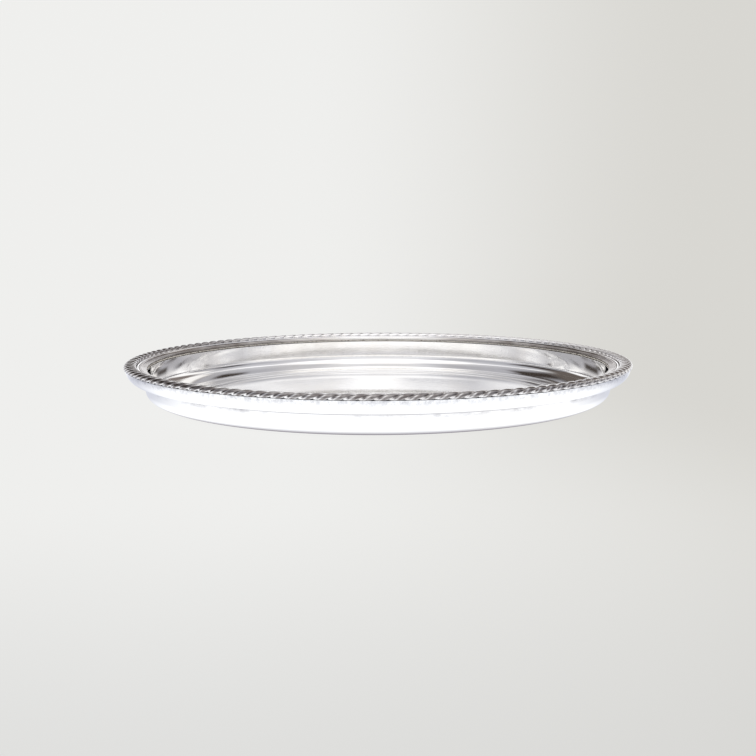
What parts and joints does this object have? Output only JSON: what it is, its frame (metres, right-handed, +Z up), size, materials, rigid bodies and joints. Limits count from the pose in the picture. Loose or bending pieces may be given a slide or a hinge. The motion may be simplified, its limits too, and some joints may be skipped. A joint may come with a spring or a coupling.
{
  "type": "offering plate",
  "caption": "Round shallow dish with a flat base, upright wall and rope-pattern border, silver plated, for collecting and carrying offerings.",
  "frame": {"origin": "middle of the flat underside of the base", "axes": "+Z up, along the axis that the plate is turned about; +X and +Y are any two directions across the round plate"},
  "size_m": [0.3048, 0.3048, 0.0248],
  "materials": {
    "dish_silver": "mirror-polished silver plate with fine swirl marks",
    "band_silver": "polished silver plate, lightly worn",
    "rope_silver": "polished silver plate with tarnish in the grooves",
    "bead_silver": "polished silver plate",
    "cove_silver": "polished silver plate, warm toned",
    "core_solder": "cast solder, dull grey",
    "inner_seam_solder": "pitted tin solder, cream grey",
    "outer_seam_solder": "stained tin solder, grey"
  },
  "bodies": {
    "root": {"dish_body": "dish_silver", "under_band": "band_silver", "rope_border": "rope_silver", "bead_wire": "bead_silver", "cove_moulding": "cove_silver", "solder_core": "core_solder", "inner_solder_seam": "inner_seam_solder", "outer_solder_seam": "outer_seam_solder"}
  },
  "joints": []
}
